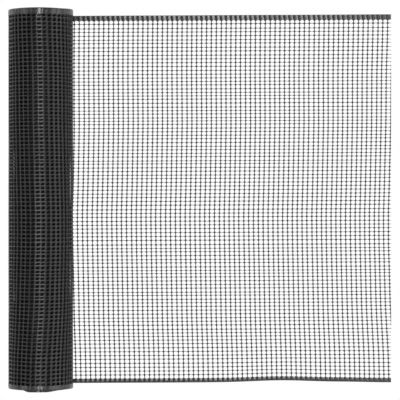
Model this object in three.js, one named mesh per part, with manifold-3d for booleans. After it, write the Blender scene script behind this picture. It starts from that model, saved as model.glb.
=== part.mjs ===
// Roll of extruded plastic mesh fencing, lying on its side with its free end drawn out flat beside it.
// Millimetres, +Z up. X runs along the net from the roll to the free end, and Y runs across the net.
import * as THREE from "three";
import { mergeVertices } from "three/addons/utils/BufferGeometryUtils.js";
import Module from "manifold-3d";

// The net, laid out flat
const HALF_WIDTH = 500;
const COLUMN_PITCH = 13.35; // from one cross strand to the next, along the net
const LAST_COLUMN = 2.7; // from the cut end to the last whole cross strand
const RIB_HEIGHT = 2; // through a cross strand
const RIB_TOP = 1.8; // width of a cross strand's crest
const RIB_FOOT = 3; // width of a cross strand where it meets the web
const WEB_HEIGHT = 1.2; // through the long strands
const SELVEDGE_HEIGHT = 1.6; // through the selvedge between its ribs
const MATERIAL = { color: 0x1b1c1d, roughness: 0.5, metalness: 0 };

// The roll
const ROLL_RADIUS = 84.5;
const LAYER_PITCH = 2.35; // one turn of the net on the next
const EYE_RADIUS = 25; // the hollow down the middle
const FLAT_HALF = 10; // half the width of the flat spot that the roll's weight makes
const LOOSE_LENGTH = 943; // from the middle of the flat spot to the cut end
const GAP = 0.3; // between the roll and the loose length
const SPARE = 30; // how far a piece that is cut away reaches past the net

// How far the cross strands bend towards the free end near each selvedge, and from where
const FAR_BOW = { from: 437, reach: 6 };
const NEAR_BOW = { from: 293, reach: 11 };
const BOW_FADE = 60; // length over which the bend starts, beside the nip

// The loose length lies a little askew, and its near edge is drawn in
const DRIFT = 3.3; // rise of the free end along Y
const FAR_EDGE = 2.5; // how far the far edge lies out beside the roll
const DRAW_IN = { depth: 6, at: 0.67, spread: 0.3 };

// Cross sections of the net, from one edge to the other
const STATIONS = [
  { y: -1, web: SELVEDGE_HEIGHT },
  { y: -0.968, web: SELVEDGE_HEIGHT },
  { y: -0.962, web: WEB_HEIGHT },
  { y: -0.82, web: WEB_HEIGHT },
  { y: -0.5, web: WEB_HEIGHT },
  { y: 0, web: WEB_HEIGHT },
  { y: 0.5, web: WEB_HEIGHT },
  { y: 0.82, web: WEB_HEIGHT },
  { y: 0.962, web: WEB_HEIGHT },
  { y: 0.968, web: SELVEDGE_HEIGHT },
  { y: 1, web: SELVEDGE_HEIGHT },
];

// How far each end of the outer turn stands back, at each quarter of the turn from the flat spot
const STAND_BACK = [
  { quarter: 0, near: 2, far: 1 },
  { quarter: 1, near: 3, far: 0.5 },
  { quarter: 2, near: 0, far: 0 },
  { quarter: 3, near: 4, far: 1.5 },
  { quarter: 4, near: 2, far: 1 },
];

// The roll's body under its outer turn, and the coarse spiral that its turns make on both ends
const OUTER_TURN = 5; // thickness of the outer turn, with its root in the body
const TURN_LAP = 1; // how far both ends of the outer turn run into the flat spot
const BODY_RADIUS = ROLL_RADIUS - 4.4;
const BODY_HALF = 495;
const TWIST = {
  start: BODY_RADIUS - 2,
  pitch: 4 * LAYER_PITCH,
  band: 5.6,
  turns: 5.4,
  steps: 28,
  half: 498.5,
  wander: 1.2,
};
const ROUND_SEGMENTS = 24; // in half a circle

const wasm = await Module();
wasm.setup();

// The closed geometry as a solid that can be joined and cut.
function solidOf(geometry) {
  const bare = geometry.index ? geometry.toNonIndexed() : geometry.clone();
  bare.deleteAttribute("normal");
  bare.deleteAttribute("uv");
  const merged = mergeVertices(bare, 1e-3);
  const mesh = new wasm.Mesh({
    numProp: 3,
    vertProperties: merged.attributes.position.array,
    triVerts: new Uint32Array(merged.index.array),
  });
  return new wasm.Manifold(mesh);
}

// A joined or cut solid as a geometry again.
function geometryOf(made) {
  const mesh = made.getMesh();
  const geometry = new THREE.BufferGeometry();
  geometry.setAttribute("position", new THREE.BufferAttribute(mesh.vertProperties, 3));
  geometry.setIndex(new THREE.BufferAttribute(mesh.triVerts, 1));
  geometry.computeVertexNormals();
  return geometry;
}

function moveEachPoint(geometry, move) {
  const place = geometry.attributes.position;
  const point = new THREE.Vector3();
  for (let i = 0; i < place.count; i++) {
    move(point.fromBufferAttribute(place, i));
    place.setXYZ(i, point.x, point.y, point.z);
  }
  return geometry;
}

// The bend of a cross strand towards the free end, at a place across the net.
function bow(y) {
  const far = Math.max(0, (y - FAR_BOW.from) / (HALF_WIDTH - FAR_BOW.from));
  const near = Math.max(0, (-y - NEAR_BOW.from) / (HALF_WIDTH - NEAR_BOW.from));
  return FAR_BOW.reach * far ** 2 + NEAR_BOW.reach * near ** 2;
}

// A strip of net between two distances from the cut end, with a rib for each cross strand. Its geometry
// has x along the net, y across it from -1 to 1, and z through it from a root to the ribs' crests.
function ribbedStrip({ from, to, root }) {
  const crest = [{ s: from, height: WEB_HEIGHT }];
  const first = Math.ceil((from + RIB_FOOT - LAST_COLUMN) / COLUMN_PITCH);
  for (let s = LAST_COLUMN + first * COLUMN_PITCH; s < to - RIB_FOOT; s += COLUMN_PITCH) {
    crest.push({ s: s - RIB_FOOT / 2, height: WEB_HEIGHT }, { s: s - RIB_TOP / 2, height: RIB_HEIGHT });
    crest.push({ s: s + RIB_TOP / 2, height: RIB_HEIGHT }, { s: s + RIB_FOOT / 2, height: WEB_HEIGHT });
  }
  crest.push({ s: to, height: WEB_HEIGHT });
  const along = crest.length - 1;
  const across = STATIONS.length - 1;
  const strip = new THREE.BoxGeometry(along, across, 1, along, across, 1);
  return moveEachPoint(strip, (point) => {
    const { s, height } = crest[Math.round(point.x + along / 2)];
    const { y, web } = STATIONS[Math.round(point.y + across / 2)];
    const top = height === WEB_HEIGHT ? web : height;
    point.set(s, y, point.z > 0 ? top : root);
  });
}

// The roll's shape

const AXIS_HEIGHT = Math.sqrt(ROLL_RADIUS ** 2 - FLAT_HALF ** 2);
const FLAT_ANGLE = Math.asin(FLAT_HALF / ROLL_RADIUS);
const TURN_ANGLE = 2 * Math.PI - 2 * FLAT_ANGLE;
const TURN_LENGTH = TURN_ANGLE * (ROLL_RADIUS - LAYER_PITCH / 2);
const NIP = LOOSE_LENGTH - FLAT_HALF; // from the cut end to where the loose length meets the roll

// How far the outer turn's end stands back at a share of the turn.
function standBack(share, end) {
  const quarter = Math.min(Math.max(share * 4, 0), 3.999);
  const row = Math.floor(quarter);
  const blend = THREE.MathUtils.smoothstep(quarter - row, 0, 1);
  return THREE.MathUtils.lerp(STAND_BACK[row][end], STAND_BACK[row + 1][end], blend);
}

// The outer turn runs from the flat spot up the side away from the loose length, over the top and down
// again, one layer further in. Its ribs face out.
function outerTurn() {
  const start = NIP + 2 * FLAT_HALF;
  const strip = ribbedStrip({
    from: start - TURN_LAP,
    to: start + TURN_LENGTH + TURN_LAP,
    root: RIB_HEIGHT - OUTER_TURN,
  });
  return moveEachPoint(strip, (point) => {
    const across = point.y;
    const depth = RIB_HEIGHT - point.z;
    const wound = point.x - start;
    const side = across < 0 ? "near" : "far";
    const fade = THREE.MathUtils.smoothstep(Math.min(wound, TURN_LENGTH - wound), 0, BOW_FADE);
    const shifted = wound - fade * bow(across * HALF_WIDTH);
    const angle = FLAT_ANGLE + (shifted / TURN_LENGTH) * TURN_ANGLE;
    const radius = ROLL_RADIUS - (LAYER_PITCH * shifted) / TURN_LENGTH - depth;
    point.y = across * (HALF_WIDTH - standBack(wound / TURN_LENGTH, side));
    point.x = -radius * Math.sin(angle);
    point.z = Math.max(AXIS_HEIGHT - radius * Math.cos(angle), 0);
  });
}

// The flat spot that the roll rests on, as far as the nip.
function flatSpot() {
  const near = HALF_WIDTH - standBack(0, "near");
  const far = HALF_WIDTH - standBack(0, "far");
  const block = new THREE.BoxGeometry(2 * FLAT_HALF, near + far, OUTER_TURN);
  block.translate(0, (far - near) / 2, OUTER_TURN / 2);
  return block;
}

// Stands an extrusion along its own z up the roll's axis, centred.
function layAlongY(geometry, length) {
  geometry.translate(0, 0, -length / 2);
  geometry.rotateX(Math.PI / 2);
  geometry.translate(0, 0, AXIS_HEIGHT);
  return geometry;
}

function rollBody() {
  const ring = new THREE.Shape().absarc(0, 0, BODY_RADIUS, 0, 2 * Math.PI);
  ring.holes.push(new THREE.Path().absarc(0, 0, EYE_RADIUS, 0, 2 * Math.PI, true));
  const options = { depth: 2 * BODY_HALF, bevelEnabled: false, curveSegments: ROUND_SEGMENTS };
  return layAlongY(new THREE.ExtrudeGeometry(ring, options), 2 * BODY_HALF);
}

// A spiral band as long as the roll: what stands past the body's ends are the roll's main twists.
function endTwists() {
  const outer = [];
  const inner = [];
  const count = Math.round(TWIST.turns * TWIST.steps);
  for (let i = 0; i <= count; i++) {
    const turned = i / TWIST.steps;
    const radius = TWIST.start - turned * TWIST.pitch;
    const angle = -Math.PI / 2 - 2 * Math.PI * turned;
    const way = new THREE.Vector2(Math.cos(angle), Math.sin(angle));
    outer.push(way.clone().multiplyScalar(radius));
    inner.unshift(way.clone().multiplyScalar(Math.max(radius - TWIST.band, EYE_RADIUS + 0.5)));
  }
  const shape = new THREE.Shape([...outer, ...inner]);
  const band = new THREE.ExtrudeGeometry(shape, { depth: 2 * TWIST.half, bevelEnabled: false });
  layAlongY(band, 2 * TWIST.half);
  return moveEachPoint(band, (point) => {
    const out = Math.hypot(point.x, point.z - AXIS_HEIGHT) / TWIST.pitch;
    point.y += Math.sign(point.y) * TWIST.wander * Math.sin(2 * out);
  });
}

function woundRoll() {
  const inside = solidOf(rollBody()).add(solidOf(endTwists()));
  return geometryOf(inside.add(solidOf(outerTurn())).add(solidOf(flatSpot())));
}

// The loose length, from its cut end to the nip under the roll. Its underside is flat on the surface.
function looseLength() {
  const end = NIP - GAP;
  const strip = ribbedStrip({ from: -COLUMN_PITCH, to: end, root: -SPARE });
  moveEachPoint(strip, (point) => {
    const across = -point.y; // turned end for end, so that its faces still point out
    const out = 1 - point.x / end; // 0 at the nip and 1 at the cut end
    const bump = Math.exp(-(((out - DRAW_IN.at) / DRAW_IN.spread) ** 2));
    const fade = THREE.MathUtils.smoothstep(end - point.x, 0, BOW_FADE);
    const edge = across > 0 ? FAR_EDGE * across : -across * DRAW_IN.depth * bump;
    point.x = LOOSE_LENGTH - point.x + fade * bow(across * HALF_WIDTH);
    point.y = across * HALF_WIDTH + edge + DRIFT * out;
  });
  const below = new THREE.BoxGeometry(3 * LOOSE_LENGTH, 3 * HALF_WIDTH, 2 * SPARE);
  below.translate(LOOSE_LENGTH, 0, -SPARE);
  const offcut = new THREE.BoxGeometry(2 * SPARE, 3 * HALF_WIDTH, 2 * SPARE);
  offcut.translate(LOOSE_LENGTH + SPARE, 0, 0);
  return geometryOf(solidOf(strip).subtract(solidOf(below)).subtract(solidOf(offcut)));
}

function piece(name, geometry) {
  const mesh = new THREE.Mesh(geometry, new THREE.MeshStandardMaterial(MATERIAL));
  mesh.name = name;
  return mesh;
}

// The group's origin is at the middle of the whole thing's footprint, on the surface that it lies on.
const roll = new THREE.Group();
roll.add(piece("wound_roll", woundRoll()), piece("loose_length", looseLength()));
const middle = new THREE.Box3().setFromObject(roll).getCenter(new THREE.Vector3());
roll.position.set(-middle.x, -middle.y, 0);

export default roll;
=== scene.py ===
import math

import bmesh
import bpy
import numpy as np
from mathutils import Matrix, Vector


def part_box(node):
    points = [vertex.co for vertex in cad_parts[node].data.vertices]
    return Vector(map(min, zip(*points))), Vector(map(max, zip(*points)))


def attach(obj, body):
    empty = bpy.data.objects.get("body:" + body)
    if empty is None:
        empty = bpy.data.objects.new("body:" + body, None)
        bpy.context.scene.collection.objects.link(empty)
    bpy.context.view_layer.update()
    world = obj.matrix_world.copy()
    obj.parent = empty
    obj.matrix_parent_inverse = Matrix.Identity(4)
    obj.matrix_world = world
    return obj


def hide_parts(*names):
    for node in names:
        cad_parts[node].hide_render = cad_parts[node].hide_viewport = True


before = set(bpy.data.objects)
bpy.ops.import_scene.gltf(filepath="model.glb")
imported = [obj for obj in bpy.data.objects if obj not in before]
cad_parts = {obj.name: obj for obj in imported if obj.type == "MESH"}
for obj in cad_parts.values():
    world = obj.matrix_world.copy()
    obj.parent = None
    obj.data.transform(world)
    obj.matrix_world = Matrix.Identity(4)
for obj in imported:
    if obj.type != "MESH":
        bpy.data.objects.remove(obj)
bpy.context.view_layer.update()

# The view: the net lies flat and is looked at from straight above, with the roll along the left.
# The picture is 1.09 m wide at the surface, and its middle is a little off the part's middle.
PICTURE_WIDTH = 1.09
PICTURE_MIDDLE = (-0.0069, -0.0016)
CAMERA_HEIGHT = 4.34

camera_data = bpy.data.cameras.new("overhead_camera")
camera_data.angle = 2 * math.atan(PICTURE_WIDTH / 2 / CAMERA_HEIGHT)
camera = bpy.data.objects.new("overhead_camera", camera_data)
camera.location = (*PICTURE_MIDDLE, CAMERA_HEIGHT)
bpy.context.scene.collection.objects.link(camera)
bpy.context.scene.camera = camera

# The strands of the loose length: thick ones across the net and thin ones along it, of black
# polyethylene, extruded together and fused into a knot where they cross. The net runs flat from its
# cut end to the nip under the roll, and then winds up into the roll.
COLUMN_PITCH = 0.01334  # from one cross strand to the next
LAST_COLUMN = 0.004  # from the cut end to the middle of the last cross strand
ROW_PITCH = 0.01015  # from one long strand to the next
ROWS = 95
HALF_WIDTH = 0.5
SELVEDGES = {"near": 0.0115, "far": 0.014}  # widths
ROOT_DEPTH = 0.002  # how far the cross strands reach into a selvedge
LOOSE_LENGTH = 0.945  # from the middle of the roll's flat spot to the cut end

# How far the rows lie off an even spacing at a place across the net, in millimetres
ROW_SHIFT = (
    # place, distance
    (-477, -2), (-420, 0.8), (-280, 0.7), (-145, -2.6), (30, 5.3),
    (226, -1.2), (345, -6.2), (420, -3.2), (477, -1.6),
)

# How far the columns lie off a straight line towards the cut end, in millimetres
COLUMN_SHIFT = (
    # place across the net, distance at the cut end and on the roll, distance between them
    (-500, 11.5, 13.5), (-422, 9.4, 12), (-320, 3, 8.3), (-285, 1.2, 8), (-122, -3.3, 4.6),
    (-45, -3.6, 3.6), (41, -1, 6), (205, 3, 9), (340, 4.1, 7.8), (437, 7.4, 8.2), (500, 8.6, 9),
)
FURTHER_IN = 0.19  # distance from the cut end over which the first distance passes into the second
TAKEN_UP = 0.13  # length on the roll over which it passes back
EASE = 0.03  # length over which both tables are smoothed
EASED_PLACES = 401  # places across the net at which they are then worked out

# How the net lies between the roll and the cut end
FLAT_HALF = 0.010  # half the width of the roll's flat spot
REST_HEIGHT = 0.00135  # of the middle of the net above the surface
DRIFT = 0.0045  # rise of the cut end across the net
DRAW_IN = {"depth": 0.0047, "at": 0.68, "spread": 0.11}  # of the near edge, by share of the loose length
FLARE = {"depth": 0.0021, "from": 0.85}  # of the near edge, towards the cut end
EDGE_POWER = 8  # the higher, the closer to an edge of the net its own bends keep
CREASES = (
    # place across the net, half width, how far the net is pulled towards the roll, and how far in
    (0.235, 0.05, 0.009, 0.045),
    (-0.01, 0.05, 0.006, 0.028),
)
RIPPLE = {"height": 0.0006, "along": 17, "across": 9, "rise": 8}  # low waves of the loose length

# The winding, from the roll's axis
ROLL_RADIUS = 0.0872
NET_RADIUS = 0.0861  # to the middle of the net where it starts to wind
LAYER_PITCH = 0.00235
EYE_RADIUS = 0.0262

# How far the net is shifted across at a number of turns into the roll, how far its near and its far
# edge stand out beyond that, and how far it is drawn on round the roll, in millimetres
TURN_SHIFT = (
    # turns, across, near edge out, far edge out, drawn on
    (0, 2.5, 0, 0, 0),
    (0.1, 2.8, 1, 2, 0),
    (0.25, 3.2, 3.2, 4.4, 0),
    (0.36, 3.6, 1.8, 2.2, 0),
    (0.5, 4, 1.8, 1.8, 0),
    (0.6, 3.9, 2, 2, 0),
    (0.68, 3.8, 3.6, 4.6, 0),
    (0.75, 3.6, 5.5, 7, 0),
    (1, 3.4, 0, 1, 2),
    (1.2, 3, 1, 3, 0.5),
    (1.3, 2.8, 1, 2, 1.5),
    (1.394, 2.6, 1, 1.4, 5.5),
    (1.418, 2.6, 5.4, 1.8, 6.3),
    (1.516, 2.6, 5.2, 1.8, 8.5),
    (1.57, 2.6, 2, 1.6, 9.5),
    (1.65, 2.8, 2, 1.6, 11),
    (2, 3.4, 1, 2, 1),
    (2.5, 4, 2, 1, -2.9),
    (3, 3.6, 1, 2, -1),
    (3.5, 4, 2, 1, 0.2),
)
# The same further in, drawn by chance for every half turn between two limits
DEEP_FROM = 4
DEEP_STEP = 0.5
DEEP_SHIFT = {"least": (3, 0, 0, 1), "most": (4.4, 3, 3, 3)}

# The small unevenness of single strands
SEED = 7
ROW_JITTER = 0.0007
ROW_JITTER_LIMIT = 0.0016
COLUMN_JITTER = 0.0002
COLUMNS_AT_MOST = 900  # more than the whole net has

scatter = np.random.default_rng(SEED)
cut_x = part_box("loose_length")[1].x
axis_x = cut_x - LOOSE_LENGTH
axis_z = math.sqrt(ROLL_RADIUS**2 - FLAT_HALF**2)
middle_y = (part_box("wound_roll")[0].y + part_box("wound_roll")[1].y) / 2
flat_end = LOOSE_LENGTH + FLAT_HALF
nip = LOOSE_LENGTH - FLAT_HALF


def wound_length(turns):
    """Length of net in that many turns, counted from the outside."""
    return 2 * np.pi * NET_RADIUS * turns - np.pi * LAYER_PITCH * turns**2


def column_at(turns):
    """The column that lies that many turns into the roll."""
    return int((flat_end + wound_length(turns) - LAST_COLUMN) / COLUMN_PITCH)


def eased(table):
    """The table of millimetres as smooth curves in metres: the places, then each further column."""
    places = np.linspace(-HALF_WIDTH, HALF_WIDTH, EASED_PLACES)
    step = places[1] - places[0]
    window = np.hanning(2 * round(EASE / step) + 1)
    margin = len(window) // 2
    measured, *values = np.array(table).T / 1000
    curves = []
    for value in values:
        raw = np.pad(np.interp(places, measured, value), margin, "edge")
        curves.append(np.convolve(raw, window / window.sum(), "valid"))
    return places, *curves


even_places, row_shift = eased(ROW_SHIFT)
even_places, cut_shift, inner_shift = eased(COLUMN_SHIFT)

all_turns = (NET_RADIUS - EYE_RADIUS) / LAYER_PITCH
deep_turns = np.arange(DEEP_FROM, all_turns + 1, DEEP_STEP)
deep_values = scatter.uniform(DEEP_SHIFT["least"], DEEP_SHIFT["most"], (len(deep_turns), 4))
turn_table = np.vstack([TURN_SHIFT, np.column_stack([deep_turns, deep_values])])
turns_in = turn_table[:, 0]
shift_across, near_out, far_out, drawn_on = turn_table[:, 1:].T / 1000

row_numbers = np.arange(ROWS + 2)
rows = (row_numbers - (ROWS + 1) / 2) * ROW_PITCH
row_jitter = scatter.normal(0, ROW_JITTER, ROWS + 2).clip(-ROW_JITTER_LIMIT, ROW_JITTER_LIMIT)
rows = rows + np.interp(rows, even_places, row_shift) + row_jitter
rows[0] = -HALF_WIDTH + SELVEDGES["near"] - ROOT_DEPTH
rows[-1] = HALF_WIDTH - SELVEDGES["far"] + ROOT_DEPTH
column_jitter = scatter.normal(0, COLUMN_JITTER, COLUMNS_AT_MOST)


def smooth(share):
    share = np.clip(share, 0, 1)
    return share * share * (3 - 2 * share)


def lie(along, across, through):
    """Where points of the flat net lie: along from the cut end, across from its middle line, and
    through it from the middle towards the face that shows on the loose length."""
    inner_share = 1 - np.exp(-np.maximum(along, 0) / FURTHER_IN)
    inner_share = inner_share * (1 - smooth((along - flat_end) / TAKEN_UP))
    at_cut = np.interp(across, even_places, cut_shift)
    along = along - at_cut - (np.interp(across, even_places, inner_shift) - at_cut) * inner_share
    for place, spread, pull, reach in CREASES:
        along = along + pull * np.exp(-(((across - place) / spread) ** 2) - ((along - nip) / reach) ** 2)
    wound = np.maximum(along - flat_end, 0)
    turned = (NET_RADIUS - np.sqrt(NET_RADIUS**2 - LAYER_PITCH / np.pi * wound)) / LAYER_PITCH
    out = np.clip(1 - along / nip, 0, 1)
    near = (np.maximum(-across, 0) / HALF_WIDTH) ** EDGE_POWER
    far = (np.maximum(across, 0) / HALF_WIDTH) ** EDGE_POWER
    drawn_in = DRAW_IN["depth"] * np.exp(-(((out - DRAW_IN["at"]) / DRAW_IN["spread"]) ** 2))
    flare = FLARE["depth"] * smooth((out - FLARE["from"]) / (1 - FLARE["from"]))
    y = middle_y + across + np.interp(turned, turns_in, shift_across) + DRIFT * out
    y = y + near * (drawn_in - flare - np.interp(turned, turns_in, near_out))
    y = y + far * np.interp(turned, turns_in, far_out)
    angle = math.asin(FLAT_HALF / ROLL_RADIUS) + 2 * np.pi * turned
    angle = angle + np.interp(turned, turns_in, drawn_on) / NET_RADIUS
    sunk = LAYER_PITCH * turned
    radius = NET_RADIUS - sunk - through
    flat = along < flat_end
    x = np.where(flat, cut_x - along, axis_x - radius * np.sin(angle))
    floor = REST_HEIGHT + sunk + through
    wave = 1 + np.sin(RIPPLE["along"] * out + RIPPLE["across"] * across)
    lift = RIPPLE["height"] * wave * smooth(RIPPLE["rise"] * out)
    z = np.where(flat, floor + lift, np.maximum(axis_z - radius * np.cos(angle), floor))
    return np.stack([x, y, z], 1)


def laid(mesh, row_counted=False):
    """The flat mesh moved to where it lies. Strands count their rows across at an even pitch first."""
    points = np.empty(3 * len(mesh.vertices), np.float32)
    mesh.vertices.foreach_get("co", points)
    along, across, through = points.reshape(-1, 3).astype(float).T
    if row_counted:
        across = np.interp(across / ROW_PITCH + (ROWS + 1) / 2, row_numbers, rows)
    column = np.round((along - LAST_COLUMN) / COLUMN_PITCH).astype(int)
    along = along + column_jitter[np.clip(column, 0, COLUMNS_AT_MOST - 1)]
    mesh.vertices.foreach_set("co", lie(along, across, through).astype(np.float32).ravel())
    mesh.update()
    return mesh


JOIN_DISTANCE = 0.00002  # corners of neighbouring cells that are closer than this become one


def repeated(mesh, *arrays):
    """The mesh repeated by one array after another. Each has (count, offset, whether the copies join)."""
    cell = bpy.data.objects.new("cell", mesh)
    bpy.context.scene.collection.objects.link(cell)
    for count, offset, joins in arrays:
        array = cell.modifiers.new("Array", "ARRAY")
        array.count = count
        array.use_relative_offset = False
        array.use_constant_offset = True
        array.constant_offset_displace = offset
        array.use_merge_vertices = joins
        array.merge_threshold = JOIN_DISTANCE
    depsgraph = bpy.context.evaluated_depsgraph_get()
    made = bpy.data.meshes.new_from_object(cell.evaluated_get(depsgraph))
    bpy.data.objects.remove(cell)
    return made


# Widths and heights of a strand at a knot and between two knots, and how far its middle lies off the
# middle of the net
KNOT = (0.0076, 0.0025)
CROSS = (0.0023, 0.0017)
LONG_KNOT = (0.0069, 0.0021)
LONG = (0.0015, 0.0014)
CROSS_LEVEL = 0.0001
LONG_LEVEL = -0.0003

# How finely strands are made. Rings are (share of a pitch, width, height), sides are those of a cross
# and of a long strand, and span is how many rows one piece of a cross strand covers.
GRADES = {
    "fine": {
        "cross": ((0, *KNOT), (0.27, *CROSS), (0.73, *CROSS), (1, *KNOT)),
        "long": ((0, *LONG_KNOT), (0.2, *LONG), (0.8, *LONG), (1, *LONG_KNOT)),
        "sides": (4, 3),
        "span": 1,
    },
}


def strand(rings, sides, pitch):
    """One pitch of a strand along Y, an open tube. Each ring has (share of the pitch, width, height)."""
    made = bmesh.new()
    upright = Matrix.Rotation(math.pi / 2, 4, "X")
    bmesh.ops.create_circle(made, segments=sides, radius=0.5, matrix=upright)
    edges = made.edges[:]
    shares, widths, heights = zip(*rings)
    for start, end in zip(shares, shares[1:]):
        grown = bmesh.ops.extrude_edge_only(made, edges=edges)["geom"]
        edges = [part for part in grown if isinstance(part, bmesh.types.BMEdge) and part.is_boundary]
        tips = [part for part in grown if isinstance(part, bmesh.types.BMVert)]
        bmesh.ops.translate(made, verts=tips, vec=(0, (end - start) * pitch, 0))
    for vert in made.verts:
        share = vert.co.y / pitch
        vert.co.x *= np.interp(share, shares, widths)
        vert.co.z *= np.interp(share, shares, heights)
    for face in made.faces:
        face.smooth = sides > 3
    mesh = bpy.data.meshes.new("strand")
    made.to_mesh(mesh)
    made.free()
    return mesh


def cross_strands(first, last, grade):
    """The cross strands from one column to another, each from selvedge to selvedge."""
    made = GRADES[grade]
    span = made["span"] * ROW_PITCH
    mesh = strand(made["cross"], made["sides"][0], span)
    start = (LAST_COLUMN + first * COLUMN_PITCH, -(ROWS + 1) / 2 * ROW_PITCH, CROSS_LEVEL)
    mesh.transform(Matrix.Translation(start))
    down = ((ROWS + 1) // made["span"], (0, span, 0), True)
    over = (last - first + 1, (COLUMN_PITCH, 0, 0), False)
    return laid(repeated(mesh, down, over), row_counted=True)


def long_strands(first, last, grade):
    """The long strands from one column to another."""
    made = GRADES[grade]
    mesh = strand(made["long"], made["sides"][1], COLUMN_PITCH)
    mesh.transform(Matrix.Rotation(-math.pi / 2, 4, "Z"))
    start = (LAST_COLUMN + first * COLUMN_PITCH, -(ROWS - 1) / 2 * ROW_PITCH, LONG_LEVEL)
    mesh.transform(Matrix.Translation(start))
    over = (last - first, (COLUMN_PITCH, 0, 0), True)
    down = (ROWS, (0, ROW_PITCH, 0), False)
    return laid(repeated(mesh, over, down), row_counted=True)


GRAIN_SCALE = 900  # fine pimples of the drawn surface, per metre
GRAIN_DETAIL = 2
GRAIN_STRENGTH = 0.5
PATCH_SCALE = 14  # broad duller and glossier patches, per metre
PATCH_DETAIL = 3
PATCH_RANGE = (0.3, 0.7)  # the part of the pattern that runs from glossy to dull


def build_drawn_surface():
    """A node group: where drawn plastic is dull or dusty, and the pimples of its surface."""
    group = bpy.data.node_groups.new("drawn_surface", "ShaderNodeTree")
    face = group.interface
    for name, value in (("Grain scale", GRAIN_SCALE), ("Patch scale", PATCH_SCALE)):
        face.new_socket(name, in_out="INPUT", socket_type="NodeSocketFloat").default_value = value
    for name in ("Patches", "Pimples"):
        face.new_socket(name, in_out="OUTPUT", socket_type="NodeSocketFloat")
    nodes = group.nodes
    inlet = nodes.new("NodeGroupInput")
    outlet = nodes.new("NodeGroupOutput")
    place = nodes.new("ShaderNodeTexCoord")
    patterns = (("Patches", "Patch scale", PATCH_DETAIL), ("Pimples", "Grain scale", GRAIN_DETAIL))
    for name, scale, detail in patterns:
        noise = nodes.new("ShaderNodeTexNoise")
        noise.inputs["Detail"].default_value = detail
        group.links.new(place.outputs["Object"], noise.inputs["Vector"])
        group.links.new(inlet.outputs[scale], noise.inputs["Scale"])
        group.links.new(noise.outputs["Fac"], outlet.inputs[name])
    return group


drawn_surface = build_drawn_surface()


def black_plastic(name, greys, roughnesses, pimple_height):
    """A plastic that runs from the first grey to the second, and from the first roughness to the second."""
    material = bpy.data.materials.new(name)
    material.use_nodes = True
    nodes = material.node_tree.nodes
    links = material.node_tree.links
    shader = nodes["Principled BSDF"]
    surface = nodes.new("ShaderNodeGroup")
    surface.node_tree = drawn_surface
    colour = nodes.new("ShaderNodeValToRGB")
    for stop, grey in zip(colour.color_ramp.elements, greys):
        stop.color = (grey, grey, grey, 1)
    links.new(surface.outputs["Patches"], colour.inputs["Fac"])
    links.new(colour.outputs["Color"], shader.inputs["Base Color"])
    roughness = nodes.new("ShaderNodeMapRange")
    limits = ("From Min", "From Max", "To Min", "To Max")
    for limit, value in zip(limits, (*PATCH_RANGE, *roughnesses)):
        roughness.inputs[limit].default_value = value
    links.new(surface.outputs["Patches"], roughness.inputs["Value"])
    links.new(roughness.outputs["Result"], shader.inputs["Roughness"])
    bump = nodes.new("ShaderNodeBump")
    bump.inputs["Strength"].default_value = GRAIN_STRENGTH
    bump.inputs["Distance"].default_value = pimple_height
    links.new(surface.outputs["Pimples"], bump.inputs["Height"])
    links.new(bump.outputs["Normal"], shader.inputs["Normal"])
    return material


strand_plastic = black_plastic("strand_plastic", (0.014, 0.027), (0.28, 0.39), 0.00012)

# The selvedges of the loose length: a solid band of the same plastic down each side, glossier than the
# strands, with a rib where each cross strand runs out into it, a thin web between the ribs, and a
# half-round arch over each hole of the first row. They are extruded in one with the strands.
ARCH_RADIUS = 0.0054
ARCH_DEPTH = {"near": 0.4, "far": 0.8}  # share of a half round
FAR_SLANT = 0.0024  # how far the ribs of the far selvedge lean back towards the roll
RIB_ROUND = 0.13  # share of a pitch either side of a rib's middle that is rounded on the roll's outside
NEARLY = 0.0001  # a cell's open ends are found to within this share of it


def both_sides(half):
    """A rib's profile on both sides of its middle, from the half that starts there."""
    return [(-share, *levels) for share, *levels in half[:0:-1]] + list(half)


FINE_BAND = {
    # share of a column's pitch from the rib, and half the thickness there in millimetres, on the
    # face that shows on the loose length and on the one that shows on the roll
    "ribs": both_sides((
        (0, 1.7, 1.35), (0.105, 1.375, 1.1), (0.13, 1.3, 0.65),
        (0.21, 1, 0.7), (0.29, 0.5, 0.7), (0.5, 0.45, 0.7),
    )),
    # share of the width from the outer edge, least and most half thickness there in millimetres
    "far": ((0, 0.3, 0.5), (0.09, 0.75, 1), (0.3, 0, 2), (0.8, 0, 2), (1, 0.35, 0.7)),
    "near": ((0, 0.3, 0.5), (0.12, 0.8, 1.1), (0.34, 0.95, 2), (0.55, 0, 2), (0.8, 0, 2), (1, 0.35, 0.7)),
}
# Its greys are twice the strands': a lighter copy of the same plastic, painted sheen for the light its flat
# webs catch.
selvedge_plastic = black_plastic("selvedge_plastic", (0.028, 0.044), (0.13, 0.24), 0.00008)


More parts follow.
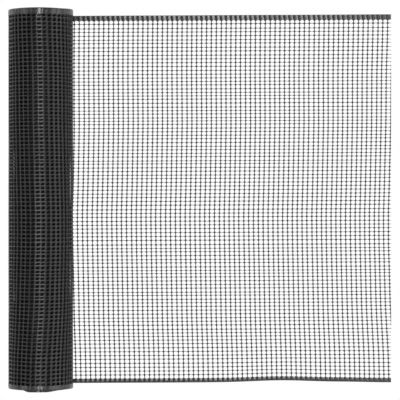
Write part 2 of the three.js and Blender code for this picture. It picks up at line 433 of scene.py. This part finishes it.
def selvedge(side, first, last, band):
    """The selvedge at one side of the net, from one column to another."""
    ribs = band["ribs"]
    rows_across = band[side]
    counts = (len(ribs) - 1, len(rows_across) - 1)
    made = bmesh.new()
    bmesh.ops.create_grid(made, x_segments=counts[0], y_segments=counts[1], size=0.5)
    grown = bmesh.ops.extrude_face_region(made, geom=made.faces[:])["geom"]
    top = [part for part in grown if isinstance(part, bmesh.types.BMVert)]
    bmesh.ops.translate(made, verts=top, vec=(0, 0, 1))
    ends = [face for face in made.faces if abs(abs(face.calc_center_median().x) - 0.5) < NEARLY]
    bmesh.ops.delete(made, geom=ends, context="FACES")
    outward = 1 if side == "far" else -1
    for vert in made.verts:
        rib, laid_face, roll_face = ribs[round((vert.co.x + 0.5) * counts[0])]
        share, least, most = rows_across[round((vert.co.y + 0.5) * counts[1])]
        reach = ARCH_RADIUS**2 - ((0.5 - abs(rib)) * COLUMN_PITCH) ** 2
        arch = (ARCH_RADIUS - math.sqrt(max(reach, 0))) * ARCH_DEPTH[side] * share**4
        lean = FAR_SLANT * (1 - share) if side == "far" else 0
        vert.co.x = rib * COLUMN_PITCH + lean
        vert.co.y = outward * (HALF_WIDTH - share * SELVEDGES[side] - arch)
        above = vert.co.z > 0.5
        level = min(max(laid_face if above else roll_face, least), most) / 1000
        vert.co.z = level if above else -level
    for face in made.faces:
        middle = face.calc_center_median()
        face.smooth = middle.z < 0 and abs(middle.x) < RIB_ROUND * COLUMN_PITCH
    start = Matrix.Translation((LAST_COLUMN + first * COLUMN_PITCH, 0, 0))
    bmesh.ops.transform(made, matrix=start, verts=made.verts)
    mesh = bpy.data.meshes.new("band")
    made.to_mesh(mesh)
    made.free()
    mesh = laid(repeated(mesh, (last - first + 1, (COLUMN_PITCH, 0, 0), True)))
    mesh.polygons.foreach_set("material_index", [1] * len(mesh.polygons))
    return mesh


# The loose length: the last 0.95 m of the net, drawn out flat over the surface and trimmed square, so
# that the long strands stand past the last cross strand as short stubs. Its cross strands and its
# selvedges are one piece, and its long strands lie a little lower as another.


def net_piece(name, meshes, plastic, cut=False):
    """The meshes as one piece of the net, closed where strands end, and cut off at the cut end."""
    made = bmesh.new()
    for mesh in meshes:
        made.from_mesh(mesh)
        bpy.data.meshes.remove(mesh)
    if cut:
        bmesh.ops.bisect_plane(
            made,
            geom=made.verts[:] + made.edges[:] + made.faces[:],
            plane_co=(cut_x, 0, 0),
            plane_no=(1, 0, 0),
            clear_outer=True,
        )
    bmesh.ops.holes_fill(made, edges=[edge for edge in made.edges if edge.is_boundary], sides=0)
    bmesh.ops.recalc_face_normals(made, faces=made.faces[:])
    mesh = bpy.data.meshes.new(name)
    made.to_mesh(mesh)
    made.free()
    mesh.materials.append(plastic)
    mesh.materials.append(selvedge_plastic)
    piece = bpy.data.objects.new(name, mesh)
    bpy.context.scene.collection.objects.link(piece)
    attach(piece, "root")
    return piece


nip_column = column_at(0)
net_meshes = [cross_strands(0, nip_column, "fine")]
net_meshes += [selvedge(side, -1, nip_column, FINE_BAND) for side in SELVEDGES]
loose_net = net_piece("loose_net", net_meshes, strand_plastic, cut=True)
long_meshes = [long_strands(-1, nip_column, "fine")]
loose_long_strands = net_piece("loose_long_strands", long_meshes, strand_plastic, cut=True)
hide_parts("loose_length")

# The roll: the rest of the net, wound up on itself round an open eye. Its outer turns are made strand
# by strand, and more plainly with depth, as far in as light gets through the holes. The deep ones are
# of the same plastic, painted darker and duller than it: painted shade for the roll's own shade.
GRADES["medium"] = {
    "cross": ((0, *KNOT), (0.5, *CROSS), (1, *KNOT)),
    "long": ((0, *LONG), (1, *LONG)),
    "sides": (4, 3),
    "span": 1,
}
PLAIN_CROSS = (0.0026, 0.0016)
GRADES["plain"] = {
    "cross": ((0, *PLAIN_CROSS), (1, *PLAIN_CROSS)),
    "long": ((0, *LONG), (1, *LONG)),
    "sides": (3, 3),
    "span": 1,
}
GRADES["coarse"] = {**GRADES["plain"], "span": 4}

# A darker, duller copy of the strand plastic for the deep turns: painted shade, with lower greys and a
# lower specular level.
SHADE_PAINTED_SHEEN = 0.2
shade_painted_plastic = black_plastic("shade_painted_plastic", (0.006, 0.012), (0.5, 0.65), 0.00012)
shade_painted_shader = shade_painted_plastic.node_tree.nodes["Principled BSDF"]
shade_painted_shader.inputs["Specular IOR Level"].default_value = SHADE_PAINTED_SHEEN

TURNS = (
    # name, grade, plastic
    ("outer_turn", "fine", strand_plastic),
    ("second_turn", "medium", strand_plastic),
    ("third_turn", "plain", shade_painted_plastic),
    ("fourth_turn", "plain", shade_painted_plastic),
    ("fifth_turn", "coarse", shade_painted_plastic),
    ("sixth_turn", "coarse", shade_painted_plastic),
)
outer_last = column_at(1)

for turn, (name, grade, plastic) in enumerate(TURNS):
    first = column_at(turn)
    last = column_at(turn + 1)
    meshes = [cross_strands(first + 1, last, grade), long_strands(first, last, grade)]
    if turn == 0:
        meshes += [selvedge(side, first + 1, outer_last, FINE_BAND) for side in SELVEDGES]
    turn_piece = net_piece(name, meshes, plastic)
    if turn == 0:
        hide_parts("wound_roll")

# The ends of the roll: the selvedges of every turn under the outer one, wound round and round, a few
# millimetres in or out of each other. The last turn of net shows as the wall of the eye.
PLAIN_BAND = {
    "ribs": both_sides(((0, 1, 1), (0.2, 0.8, 0.8), (0.5, 0.6, 0.75))),
    "far": ((0, 0, 2), (1, 0, 2)),
    "near": ((0, 0, 2), (1, 0, 2)),
}
last_column = column_at(all_turns)
for side in SELVEDGES:
    band = selvedge(side, outer_last + 1, last_column, PLAIN_BAND)
    net_piece(f"{side}_selvedge_turns", [band], strand_plastic)

eye_column = column_at(all_turns - 1)
eye_meshes = [
    cross_strands(eye_column, last_column, "plain"),
    long_strands(eye_column, last_column, "plain"),
]
# The eye's wall gets the darker copy of the plastic too, as painted shade.
net_piece("eye_turn", eye_meshes, shade_painted_plastic)

# The imported turns: what lies between the turns that show and the eye is one ribbed winding, out of
# the light and painted dark with the shaded copy of the plastic, with its ends behind the selvedges.
PACKED_OUTSIDE = NET_RADIUS - len(TURNS) * LAYER_PITCH - 0.001  # just clear of the sixth turn
PACKED_INSIDE = EYE_RADIUS + 0.003  # just outside the eye's wall
PACKED_HALF = HALF_WIDTH - max(SELVEDGES.values()) - 0.006
PACKED_SHIFT = 0.0015  # across the net, as the turns drift
PACKED_RIBS = 40
PACKED_RIB_DEPTH = 0.001

packed = bmesh.new()
section = [
    packed.verts.new((reach, place, 0))
    for reach, place in (
        (PACKED_INSIDE, -PACKED_HALF),
        (PACKED_OUTSIDE, -PACKED_HALF),
        (PACKED_OUTSIDE, PACKED_HALF),
        (PACKED_INSIDE, PACKED_HALF),
    )
]
outline = [packed.edges.new((a, b)) for a, b in zip(section, section[1:] + section[:1])]
bmesh.ops.spin(
    packed,
    geom=section + outline,
    cent=(0, 0, 0),
    axis=(0, 1, 0),
    angle=2 * math.pi,
    steps=2 * PACKED_RIBS,
    use_merge=True,
)
for vert in packed.verts:
    around = math.atan2(vert.co.z, vert.co.x) / math.pi * PACKED_RIBS
    sink = 1 - PACKED_RIB_DEPTH / PACKED_OUTSIDE * (round(around) % 2)
    vert.co.x *= sink
    vert.co.z *= sink
place = Matrix.Translation((axis_x, middle_y + PACKED_SHIFT, axis_z))
bmesh.ops.transform(packed, matrix=place, verts=packed.verts)
packed_mesh = bpy.data.meshes.new("packed_turns")
packed.to_mesh(packed_mesh)
packed.free()
net_piece("packed_turns", [packed_mesh], shade_painted_plastic)

# The surface and the light: a plain white table lit evenly from within, so that nothing on it throws a
# shade, one broad soft panel high overhead, a weaker box low at each side, and an even light all round.
TABLE_HALF = 8
TABLE_GLOW = 1.006
LIGHTS = {
    # name: (place, tilt in degrees about Y, width, length, watts)
    "overhead_panel": ((0.15, 0, 12), 0, 2.9, 4.8, 470),
    "right_box": ((3.2, 0, 2), 62, 3.2, 3.6, 65),
    "left_box": ((-3.4, 0, 2), -60, 1.6, 3.6, 26),
}
ROOM_LIGHT = 0.33

table = bmesh.new()
bmesh.ops.create_grid(table, x_segments=1, y_segments=1, size=TABLE_HALF)
table_mesh = bpy.data.meshes.new("table")
table.to_mesh(table_mesh)
table.free()
table_white = bpy.data.materials.new("table_white")
table_white.use_nodes = True
white = table_white.node_tree.nodes["Principled BSDF"]
white.inputs["Base Color"].default_value = (0, 0, 0, 1)
white.inputs["Specular IOR Level"].default_value = 0
white.inputs["Emission Color"].default_value = (1, 1, 1, 1)
white.inputs["Emission Strength"].default_value = TABLE_GLOW
table_mesh.materials.append(table_white)
table_top = bpy.data.objects.new("table", table_mesh)
bpy.context.scene.collection.objects.link(table_top)

for name, (place, tilt, width, length, watts) in LIGHTS.items():
    light = bpy.data.lights.new(name, "AREA")
    light.shape = "RECTANGLE"
    light.size = width
    light.size_y = length
    light.energy = watts
    lamp = bpy.data.objects.new(name, light)
    lamp.location = place
    lamp.rotation_euler = (0, math.radians(tilt), 0)
    bpy.context.scene.collection.objects.link(lamp)

room = bpy.data.worlds.new("room")
room.use_nodes = True
room.node_tree.nodes["Background"].inputs["Color"].default_value = (1, 1, 1, 1)
room.node_tree.nodes["Background"].inputs["Strength"].default_value = ROOM_LIGHT
bpy.context.scene.world = room
bpy.context.scene.view_settings.view_transform = "Standard"
